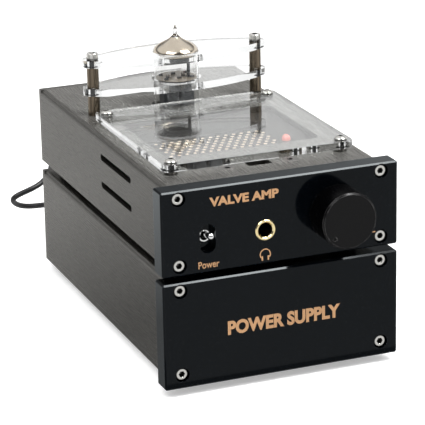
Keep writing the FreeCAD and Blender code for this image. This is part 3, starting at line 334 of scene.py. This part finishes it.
# The brushing's directions lean a little, so that a face square to them is brushed some way too.
ALONG_X = (1.0, 0.02, 0.03)
ALONG_Y = (0.02, 1.0, 0.03)
CASE_METAL = {
    "colour": (0.018, 0.017, 0.015), "rough": 0.27, "sheen": 0.082, "rise": 0.66,
    "tint": (1.0, 0.985, 0.945), "spread": 0.6, "streak": 0.3, "streak_sheen": 0.16, "blotch": 0.15,
    "blotch_size": 35.0, "rough_change": 0.06, "bump": 0.004, "round_edge": 0.2, "wear": 0.3,
    "wear_colour": (0.09, 0.088, 0.08)}
FINISHES = {
    "faceplate_black": sheen_finish(
        "faceplate_black", (0.0007, 0.0012, 0.0020), 0.09, 0.0125, tint=(0.92, 0.98, 1.0),
        grain=(2.5, 0.08, 0.08), streak=0.3, rough_change=0.03, bump=0.0008, round_edge=0.12, wear=0.5,
        wear_colour=(0.05, 0.05, 0.055), dust=0.03, streak_sheen=0.06),
    "case_grey": sheen_finish("case_grey", brushed=ALONG_Y, grain=(0.22, 14.0, 0.22), **CASE_METAL),
    # The screw heads' sockets get painted shade.
    "screw_steel": solid_finish(
        "screw_steel", (0.62, 0.61, 0.58), 0.13, metallic=1.0, grain=(0.25, 0.25, 0.25), streak=0.10,
        bump=0.002, round_edge=0.18, wear=0.3, wear_colour=(0.85, 0.85, 0.83), recess=1.8),
    "clear_plate": clear_finish("clear_plate", (0.985, 0.995, 0.992), 1.49, rough=0.0, haze=0.0015),
    "post_bronze": solid_finish(
        "post_bronze", (0.17, 0.137, 0.10), 0.25, metallic=0.95, grain=(0.4, 0.4, 25.0), streak=0.6,
        rough_change=0.12, bump=0.01, round_edge=0.2, wear=0.3, wear_colour=(0.4, 0.35, 0.28)),
    "valve_clear": clear_finish("valve_clear", (0.99, 0.99, 0.985), 1.5, rough=0.03, haze=0.02),
    "getter_film": film_finish("getter_film"),
    "electrode_dark": solid_finish(
        "electrode_dark", (0.024, 0.027, 0.032), 0.50, metallic=0.3, grain=(0.5, 0.5, 3.0), streak=0.35,
        bump=0.01, round_edge=0.15, wear=0.3, wear_colour=(0.12, 0.12, 0.13)),
    "electrode_bright": solid_finish(
        "electrode_bright", (0.52, 0.49, 0.45), 0.25, metallic=1.0, grain=(0.4, 0.4, 2.0), streak=0.2,
        bump=0.004, round_edge=0.1),
    "mica": solid_finish(
        "mica", (0.20, 0.165, 0.125), 0.35, metallic=0.1, grain=(1.2, 1.2, 1.2), streak=0.3, bump=0.006,
        round_edge=0.1, coat=0.2),
    "ceramic_white": solid_finish(
        "ceramic_white", (0.75, 0.73, 0.68), 0.32, grain=(0.4, 0.4, 0.4), streak=0.05, bump=0.003),
    # On the knob the pale edges are partly worn metal and partly a painted highlight along the rim.
    "knob_black": sheen_finish(
        "knob_black", (0.0012, 0.0010, 0.0012), 0.30, 0.016, rise=0.5, grain=(0.12, 3.0, 0.12), streak=0.3,
        bump=0.002, round_edge=0.25, wear=0.9, wear_colour=(0.30, 0.30, 0.30), streak_sheen=0.15),
    "gold_plate": solid_finish(
        "gold_plate", (0.95, 0.78, 0.43), 0.16, metallic=1.0, grain=(0.4, 0.4, 0.4), streak=0.08,
        bump=0.002, round_edge=0.15),
    # Hollows in the chrome, such as the toggle's bushing, get painted shade.
    "chrome_plate": solid_finish(
        "chrome_plate", (0.78, 0.78, 0.78), 0.07, metallic=1.0, grain=(0.5, 0.5, 0.5), streak=0.04,
        rough_change=0.03, bump=0.001, round_edge=0.12, recess=1.5),
    "black_plastic": solid_finish(
        "black_plastic", (0.014, 0.014, 0.015), 0.42, grain=(0.25, 0.25, 0.25), streak=0.2, bump=0.008,
        specular=0.4, wear=0.2, wear_colour=(0.07, 0.07, 0.07)),
    "lead_black": solid_finish(
        "lead_black", (0.010, 0.010, 0.011), 0.36, grain=(0.3, 0.3, 0.3), streak=0.2, bump=0.006,
        specular=0.5, dust=0.12),
    "foot_rubber": solid_finish(
        "foot_rubber", (0.016, 0.016, 0.016), 0.82, grain=(0.3, 0.3, 0.3), streak=0.3, bump=0.03,
        specular=0.3, dust=0.2),
    "board_green": board_finish("board_green"),
    "can_sleeve": solid_finish(
        "can_sleeve", (0.012, 0.016, 0.05), 0.3, grain=(0.5, 0.5, 0.5), streak=0.15, bump=0.004, coat=0.4),
    "winding": winding_finish("winding"),
    "led_red": lamp_finish("led_red"),
    "zinc": solid_finish(
        "zinc", (0.55, 0.55, 0.52), 0.32, metallic=1.0, grain=(0.9, 0.9, 0.9), streak=0.18, bump=0.006,
        round_edge=0.2),
    "vent_grey": sheen_finish(
        "vent_grey", (0.022, 0.020, 0.018), 0.4, 0.04, rise=0.35, grain=(0.15, 4.0, 0.15), streak=0.3,
        bump=0.004, round_edge=0.1, streak_sheen=0.1),
}
PANEL_FINISH = sheen_finish("panel_grey", brushed=ALONG_X, grain=(14.0, 0.22, 0.22), **CASE_METAL)
NODE_FINISHES = {
    "amp_rear_panel": PANEL_FINISH,
    "psu_rear_panel": PANEL_FINISH,
    # On the knob the pale edges are partly worn metal and partly a painted highlight along the rim.
    "volume_knob": sheen_finish(
        "knob_turned", (0.0006, 0.0006, 0.0008), 0.24, 0.0025, rise=0.25, face_sheen=0.013,
        grain=(0.12, 3.0, 0.12), streak=0.3, bump=0.0015, round_edge=0.2, wear=0.9,
        wear_colour=(0.26, 0.25, 0.25), streak_sheen=0.15),
    # These screws' sockets get painted shade.
    "vent_plate_screws": solid_finish(
        "screw_dull", (0.20, 0.19, 0.18), 0.28, metallic=1.0, grain=(0.25, 0.25, 0.25), streak=0.2,
        bump=0.004, round_edge=0.15, wear=0.4, wear_colour=(0.5, 0.49, 0.46), recess=1.2),
}
for row in frame["record"]["subparts"]:
    node = frame["nodes"][row["node"]]
    if not node.material_slots:
        node.data.materials.append(None)
    for holder in node.material_slots:
        holder.material = NODE_FINISHES.get(row["node"], FINISHES[row["material_slot"]])


# --- new pieces ---

def new_piece(name, mesh, slot, body="case", material=None):
    """Link a mesh as a piece that rides on a body and takes its finish from a slot."""
    piece = bpy.data.objects.new(name, mesh)
    bpy.context.scene.collection.objects.link(piece)
    mesh.materials.clear()
    mesh.materials.append(material or FINISHES[slot])
    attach(piece, body)
    return piece


def lathe(work, profile, centre, steps=24):
    """Add a closed ring to a bmesh: the profile of (radius, height) turned about a vertical axis."""
    rings = []
    for step in range(steps):
        angle = 2 * math.pi * step / steps
        across = Vector((math.cos(angle), math.sin(angle), 0.0))
        rings.append([work.verts.new(centre + across * radius + UP * height) for radius, height in profile])
    count = len(profile)
    for step in range(steps):
        near = rings[step]
        far = rings[(step + 1) % steps]
        for i in range(count):
            j = (i + 1) % count
            work.faces.new((near[i], far[i], far[j], near[j]))


def mesh_from(work, name, smooth=True):
    """Turn a bmesh into a mesh whose faces all look outwards."""
    bmesh.ops.recalc_face_normals(work, faces=work.faces)
    mesh = bpy.data.meshes.new(name)
    work.to_mesh(mesh)
    work.free()
    if smooth:
        mesh.shade_smooth()
    return mesh


def eyelets():
    """A rolled copper eyelet in each hole of the vent plate."""
    low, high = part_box("vent_plate")
    rows, columns = 7, 14
    pitch, row_step = 3.75 * MM, 3.25 * MM
    first = Vector((low.x + 10.2 * MM, low.y + 32.4 * MM, high.z))
    rim, throat, lift, deep = 0.98 * MM, 0.45 * MM, 0.14 * MM, 1.4 * MM
    profile = [
        (throat, -deep), (throat + 0.25 * MM, -deep), (throat + 0.3 * MM, 0.05 * MM), (rim, 0.05 * MM),
        (rim - 0.04 * MM, lift * 0.6), (rim - 0.22 * MM, lift), (throat + 0.2 * MM, lift * 0.9),
        (throat, lift * 0.3),
    ]
    work = bmesh.new()
    for row in range(rows):
        for column in range(columns):
            shift = (row % 2) * pitch / 2
            lathe(work, profile, first + Vector((column * pitch + shift, row * row_step, 0.0)), 20)
    copper = solid_finish("eyelet_copper", (1.0, 0.80, 0.65), 0.3, metallic=1.0, grain=(0.5, 0.5, 0.5),
                          streak=0.1, blotch=0.3, blotch_size=6.0, bump=0.003, round_edge=0.05)
    new_piece("vent_eyelets", mesh_from(work, "vent_eyelets"), "gold_plate", material=copper)


def smooth_through(points, parts=5):
    """A smooth curve through points: Catmull-Rom, in equal parts between each pair."""
    ends = [tuple(2 * a - b for a, b in zip(points[0], points[1]))]
    ends += list(points)
    ends.append(tuple(2 * a - b for a, b in zip(points[-1], points[-2])))
    curve = []
    for i in range(1, len(ends) - 2):
        before, start, end, after = ends[i - 1:i + 3]
        for part in range(parts):
            t = part / parts
            curve.append(tuple(
                q + 0.5 * t * (r - p + t * (2 * p - 5 * q + 4 * r - s + t * (3 * q - p - 3 * r + s)))
                for p, q, r, s in zip(before, start, end, after)))
    return curve + [points[-1]]


# The outside of the bulb's crown: the radius as a share of the bulb's, and the height over its foot in mm.
CROWN = [
    (1.0, 34.6), (0.991, 35.9), (0.944, 37.2), (0.852, 38.35), (0.713, 39.45), (0.5, 40.6), (0.296, 41.9),
    (0.176, 43.0)]


def getter_film():
    """The mirror film, set in the glass of the bulb's crown so that it fills the crown's whole width."""
    low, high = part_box("valve_glass")
    bulb_radius = (high.x - low.x) / 2
    outside = smooth_through([(share * bulb_radius, height * MM) for share, height in CROWN])
    faces = []
    for inset in (0.70 * MM, 1.15 * MM):
        moved = []
        for i, (radius, height) in enumerate(outside):
            before = outside[max(i - 1, 0)]
            after = outside[min(i + 1, len(outside) - 1)]
            along = Vector((after[0] - before[0], after[1] - before[1])).normalized()
            moved.append((radius - inset * along.y, height + inset * along.x))
        faces.append(moved)
    foot = Vector(((low.x + high.x) / 2, (low.y + high.y) / 2, low.z))
    work = bmesh.new()
    lathe(work, faces[0] + list(reversed(faces[1])), foot, 72)
    film = new_piece("valve_getter_film", mesh_from(work, "valve_getter_film"), "getter_film", body="valve")
    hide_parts("valve_getter_mirror")


def electrode_tabs():
    """The bent tabs that hold the anodes in the upper mica, and the collars round the cathodes."""
    low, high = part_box("valve_glass")
    mica_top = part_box("valve_micas")[1].z
    middle = Vector(((low.x + high.x) / 2, (low.y + high.y) / 2, mica_top))
    size = Matrix.Diagonal((2.0 * MM, 0.7 * MM, 1.5 * MM, 1.0))
    work = bmesh.new()
    for x in (-6.4, 0.0, 6.4):
        for y in (-4.2, 4.2):
            where = Matrix.Translation(middle + Vector((x, y, 0.15)) * MM)
            twist = Matrix.Rotation(math.radians(8 if x * y > 0 else -8), 4, "Z")
            bmesh.ops.create_cube(work, size=1.0, matrix=where @ twist @ size)
    bmesh.ops.bevel(work, geom=list(work.edges), offset=0.12 * MM, segments=2, affect="EDGES")
    bore, rim, cathode_from_middle = 0.95 * MM, 1.35 * MM, 3.85 * MM
    collar = [(bore, -0.1 * MM), (rim, -0.1 * MM), (rim, 0.35 * MM), (bore, 0.45 * MM)]
    for side in (-1, 1):
        lathe(work, collar, middle + Vector((side * cathode_from_middle, 0.0, 0.0)))
    mesh = mesh_from(work, "valve_electrode_tabs", smooth=False)
    new_piece("valve_electrode_tabs", mesh, "electrode_dark", body="valve")


INK = solid_finish(
    "ink_copper", (0.50, 0.275, 0.13), 0.42, metallic=0.2, grain=(0.25, 0.25, 0.25), streak=0.12,
    blotch=0.15, blotch_size=5.0, bump=0.004, round_edge=0.05)
WHITE_INK = solid_finish(
    "ink_white", (0.55, 0.55, 0.53), 0.5, grain=(0.2, 0.2, 0.2), streak=0.1, bump=0.003)
INK_THICK = 0.05 * MM
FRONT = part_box("amp_faceplate")[0].y
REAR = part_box("amp_rear_panel")[1].y


def lettering(name, words, left, right, middle, height, bold=0.0, face=FRONT, out=-1, ink=INK):
    """Raised printed words on a panel, fitted between left and right and to a height (mm).

    Words on the rear are given their left at the greater X. Face is the panel's Y, out is the way it looks
    along Y, and bold is how far the strokes are thickened, in letter heights.
    """
    curve = bpy.data.curves.new(name, "FONT")
    curve.body = words
    curve.offset = bold
    curve.resolution_u = 4
    curve.fill_mode = "BOTH"
    curve.extrude = 0.5
    holder = bpy.data.objects.new(name + "_curve", curve)
    bpy.context.scene.collection.objects.link(holder)
    bpy.context.view_layer.update()
    mesh = bpy.data.meshes.new_from_object(holder.evaluated_get(bpy.context.evaluated_depsgraph_get()))
    bpy.data.objects.remove(holder)
    low = [min(v.co[i] for v in mesh.vertices) for i in range(3)]
    high = [max(v.co[i] for v in mesh.vertices) for i in range(3)]
    for vertex in mesh.vertices:
        share = [(vertex.co[i] - low[i]) / (high[i] - low[i]) for i in range(3)]
        x = (left + share[0] * (right - left)) * MM
        z = (middle - height / 2 + share[1] * height) * MM
        vertex.co = (x, face + out * share[2] * INK_THICK, z)
    mesh.name = name
    new_piece(name, mesh, "gold_plate", material=ink)


def flat_print(name, outlines):
    """Flat printed shapes on the upper faceplate, each an outline of (x, z) in mm, given thickness."""
    work = bmesh.new()
    for outline in outlines:
        front = [work.verts.new((x * MM, FRONT - INK_THICK, z * MM)) for x, z in outline]
        back = [work.verts.new((x * MM, FRONT, z * MM)) for x, z in outline]
        work.faces.new(front)
        work.faces.new(list(reversed(back)))
        count = len(outline)
        for i in range(count):
            j = (i + 1) % count
            work.faces.new((front[j], front[i], back[i], back[j]))
    new_piece(name, mesh_from(work, name, smooth=False), "gold_plate", material=INK)


def headphone_icon(x, z, wide, high):
    """A plain headphone symbol about (x, z), in mm: a band over two ear pads."""
    outer, line, steps = wide / 2, 0.5, 24
    centre = z + high / 2 - outer
    low = z - high / 2
    start, end = math.radians(-38), math.radians(218)
    band = []
    for radius in (outer, outer - line):
        points = [(x + radius * math.cos(start + (end - start) * i / steps),
                   centre + radius * math.sin(start + (end - start) * i / steps)) for i in range(steps + 1)]
        band += points if radius == outer else list(reversed(points))
    outlines = [band]
    for side in (-1, 1):
        near, far = x + side * 1.05, x + side * 1.75
        outlines.append([(near, low), (far, low), (far, low + 2.0), (near, low + 2.0)])
    flat_print("headphone_symbol", outlines)


def markings():
    """Generic words, a headphone symbol and a scale tick at the front, and the labels at the rear."""
    lettering("title_upper", "VALVE AMP", -33.0, -1.2, 86.4, 4.1, 0.045)
    lettering("title_lower", "POWER SUPPLY", -25.7, 27.3, 28.3, 6.5, 0.045)
    lettering("power_word", "Power", -38.6, -29.0, 58.8, 3.2, 0.012)
    headphone_icon(-7.8, 59.4, 5.2, 5.3)
    flat_print("volume_tick", [[(42.2, 61.95), (44.3, 61.95), (44.3, 62.45), (42.2, 62.45)]])
    for name, words, x, z, wide in (
            ("rear_left", "L", 12.0, 64.4, 1.6), ("rear_right", "R", 32.0, 64.4, 1.9),
            ("rear_input", "INPUT", 22.0, 83.4, 9.0), ("rear_supply", "DC IN", -28.0, 84.0, 8.0)):
        lettering(
            name, words, x + wide / 2, x - wide / 2, z, 2.4, bold=0.03, face=REAR, out=1, ink=WHITE_INK)


def polished_edges():
    """A small bevel on the clear plates, as a polisher leaves it."""
    for name in ("window_plate", "guard_plates"):
        bevel = frame["nodes"][name].modifiers.new("polish", "BEVEL")
        bevel.width = 0.25 * MM
        bevel.segments = 2
        bevel.limit_method = "ANGLE"
        bevel.angle_limit = math.radians(50)


eyelets()
getter_film()
electrode_tabs()
markings()
polished_edges()


# --- studio ---

def floor():
    """A plain pale sheet under the object.

    In reflections it is as bright as a lamp ahead of the object, and beside the object it goes from dark at
    the front to bright at the back, which gives the cases' sides their sheen.
    """
    half = 8.0
    corners = [(-half, -half, 0), (half, -half, 0), (half, half, 0), (-half, half, 0)]
    mesh = bpy.data.meshes.new("floor")
    mesh.from_pydata(corners, [], [(0, 1, 2, 3)])
    sheet = bpy.data.objects.new("floor", mesh)
    bpy.context.scene.collection.objects.link(sheet)
    material, tree = new_material("floor_paper")
    grain = noise(tree, (1.5, 1.5, 1.5), 3.0)
    tone = blend_colours(tree, grain, (0.90, 0.90, 0.90, 1.0), (0.93, 0.93, 0.93, 1.0))
    paper = add(tree, "BsdfDiffuse", {"Color": tone}).outputs[0]
    glow = add(tree, "Emission", {"Color": tone, "Strength": 0.43}).outputs[0]
    seen = add(tree, "AddShader", {0: paper, 1: glow}).outputs[0]
    depth = add(tree, "SeparateXYZ", {0: add(tree, "NewGeometry").outputs["Position"]}).outputs[1]
    beside = ramp(tree, depth, -0.02, 0.16, 0.36, 1.12)
    ahead = maths(tree, "LESS_THAN", depth, CAD_BOX[0].y)
    strength = add(tree, "Mix", {0: ahead, 2: beside, 3: 1.0}, data_type="FLOAT").outputs[0]
    mirrored = add(tree, "Emission", {"Color": tone, "Strength": strength}).outputs[0]
    glossy = add(tree, "LightPath").outputs["Is Glossy Ray"]
    finish_with(tree, blend_shaders(tree, glossy, seen, mirrored))
    mesh.materials.append(material)


def sky():
    """A dim room with a white backdrop low behind the object, a white ceiling and a dark band between.

    Sharp reflections and refractions, those of the clear plates, see a room that is pale all round.
    """
    dim, white, pale = (0.13, 0.13, 0.135, 1.0), (1.15, 1.15, 1.15, 1.0), (1.2, 1.2, 1.2, 1.0)
    world = bpy.data.worlds.new("studio")
    bpy.context.scene.world = world
    world.use_nodes = True
    tree = world.node_tree
    tree.nodes.clear()
    x, y, z = add(tree, "SeparateXYZ", {0: add(tree, "TexCoord").outputs["Generated"]}).outputs
    # The backdrop's upper edge slopes a little, and it stands behind the object as the camera sees it.
    slope = maths(tree, "MULTIPLY", maths(tree, "SUBTRACT", x, 0.33), 0.12)
    low_down = ramp(tree, maths(tree, "SUBTRACT", z, slope), 0.312, 0.26)
    away = maths(tree, "ADD", maths(tree, "MULTIPLY", x, 0.363), maths(tree, "MULTIPLY", y, 0.932))
    backdrop = maths(tree, "MULTIPLY", low_down, ramp(tree, away, -0.35, 0.1))
    # The ceiling comes lower at the sides and keeps higher in front.
    aside = ramp(tree, maths(tree, "ABSOLUTE", maths(tree, "SUBTRACT", x, 0.35)), 0.35, 0.65, 0.0, 0.14)
    in_front = ramp(tree, y, -0.3, 0.1, -0.38, 0.0)
    ceiling = ramp(tree, maths(tree, "ADD", maths(tree, "ADD", z, aside), in_front), 0.42, 0.62, 0.0, 0.85)
    room = blend_colours(tree, maths(tree, "MAXIMUM", backdrop, ceiling), dim, white)
    sharp = maths(tree, "MULTIPLY", add(tree, "LightPath").outputs["Is Singular Ray"], 0.75)
    colour = blend_colours(tree, sharp, room, pale)
    light = add(tree, "Background", {"Color": colour, "Strength": 1.0}).outputs[0]
    add(tree, "OutputWorld", {"Surface": light})


def softbox(name, towards, distance, size, power):
    """A rectangular lamp (sizes in metres, power in watts) some way from the object, aimed at it."""
    lamp = bpy.data.lights.new(name, "AREA")
    lamp.shape = "RECTANGLE"
    lamp.size, lamp.size_y = size
    lamp.energy = power
    holder = bpy.data.objects.new(name, lamp)
    bpy.context.scene.collection.objects.link(holder)
    middle = Vector((0.0, 0.0, 0.08))
    holder.location = middle + Vector(towards).normalized() * distance
    holder.rotation_euler = (middle - holder.location).to_track_quat("-Z", "Y").to_euler()


def camera():
    """The camera at the viewing angle: from the front, to the left and above."""
    data = bpy.data.cameras.new("camera")
    data.lens = 200.26
    data.sensor_width = 36.0
    data.clip_start = 0.05
    data.clip_end = 50.0
    holder = bpy.data.objects.new("camera", data)
    bpy.context.scene.collection.objects.link(holder)
    right = Vector((0.92915, -0.36919, -0.01987))
    up = Vector((0.13502, 0.28880, 0.94783))
    back = Vector((-0.34419, -0.88335, 0.31819))
    holder.matrix_world = Matrix((right, up, back)).transposed().to_4x4()
    holder.location = (-0.3753, -0.9927, 0.3994)
    bpy.context.scene.camera = holder


def rendering():
    """Enough bounces for light to run along the clear plates, and plain display colours."""
    scene = bpy.context.scene
    scene.cycles.max_bounces = 32
    scene.cycles.glossy_bounces = 24
    scene.cycles.transmission_bounces = 24
    scene.cycles.transparent_max_bounces = 32
    scene.view_settings.view_transform = "Standard"


floor()
sky()
softbox("box_left", towards=(-0.62, -0.42, 0.95), distance=1.5, size=(1.1, 0.9), power=10.0)
softbox("box_right", towards=(0.75, -0.62, 0.95), distance=1.5, size=(1.0, 0.9), power=12.0)
softbox("box_top", towards=(0.34, -0.32, 0.88), distance=1.6, size=(0.36, 0.36), power=13.0)
camera()
rendering()
